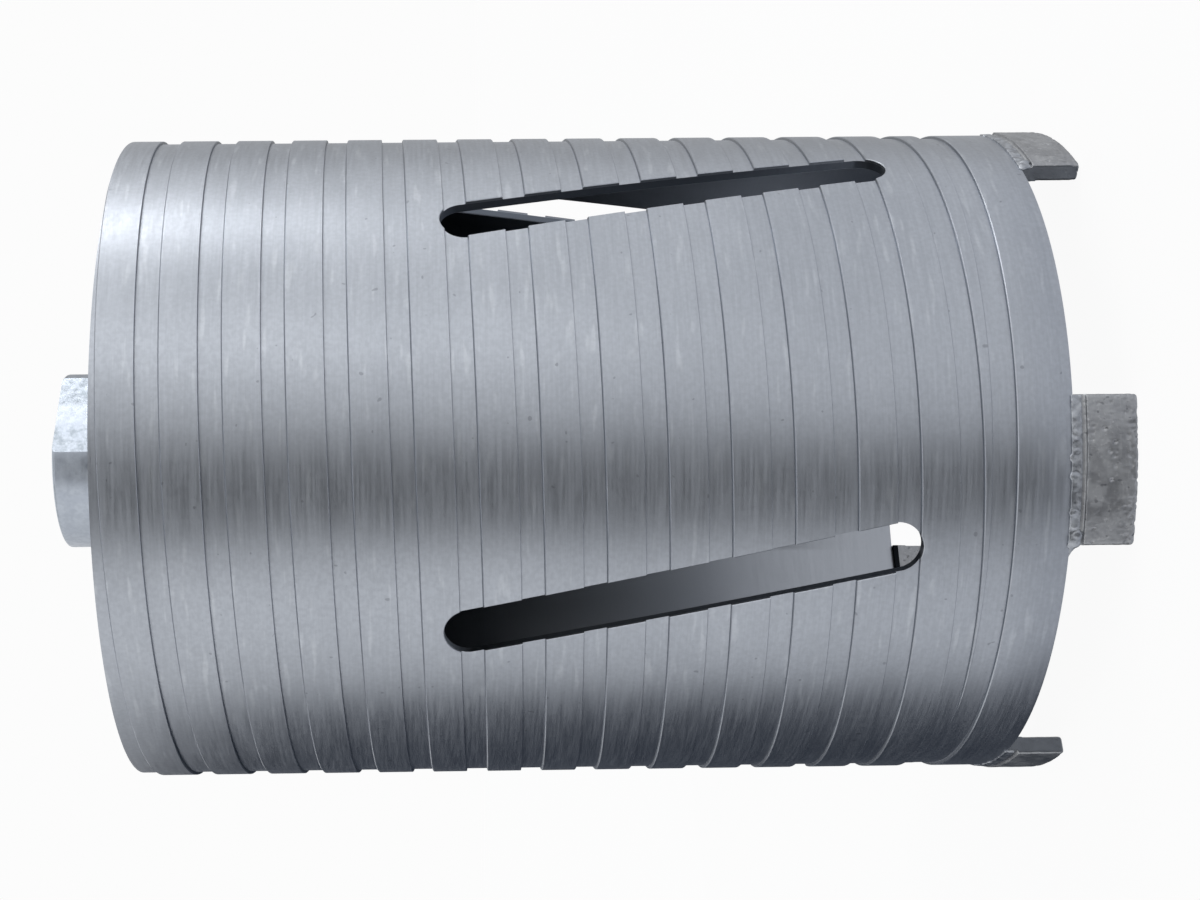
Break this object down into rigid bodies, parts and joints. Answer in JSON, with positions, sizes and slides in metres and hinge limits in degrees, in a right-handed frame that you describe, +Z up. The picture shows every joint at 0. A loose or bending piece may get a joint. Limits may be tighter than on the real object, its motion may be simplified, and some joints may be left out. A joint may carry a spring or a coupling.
{
  "type": "diamond core bit",
  "caption": "Dry diamond core bit: slotted steel barrel with a spiral chip groove, threaded hub on a welded end plate, and diamond segments on its front rim.",
  "frame": {"origin": "on the bit's axis, at the level of the segments' tips, on which it stands", "axes": "+Z up the axis, from the segments to the hub; -Y towards the side on which segment_1 stands"},
  "size_m": [0.116, 0.1164, 0.1765],
  "materials": {
    "barrel_steel": "satin",
    "plate_steel": "satin",
    "hub_steel": "satin",
    "weld_metal": "satin",
    "diamond_segment": "matte"
  },
  "bodies": {
    "root": {"barrel": "barrel_steel", "end_plate": "plate_steel", "hub": "hub_steel", "plate_weld": "weld_metal", "hub_weld": "weld_metal", "segment_1": "diamond_segment", "segment_2": "diamond_segment", "segment_3": "diamond_segment", "segment_4": "diamond_segment", "segment_5": "diamond_segment", "segment_weld_1": "weld_metal", "segment_weld_2": "weld_metal", "segment_weld_3": "weld_metal", "segment_weld_4": "weld_metal", "segment_weld_5": "weld_metal"}
  },
  "joints": []
}
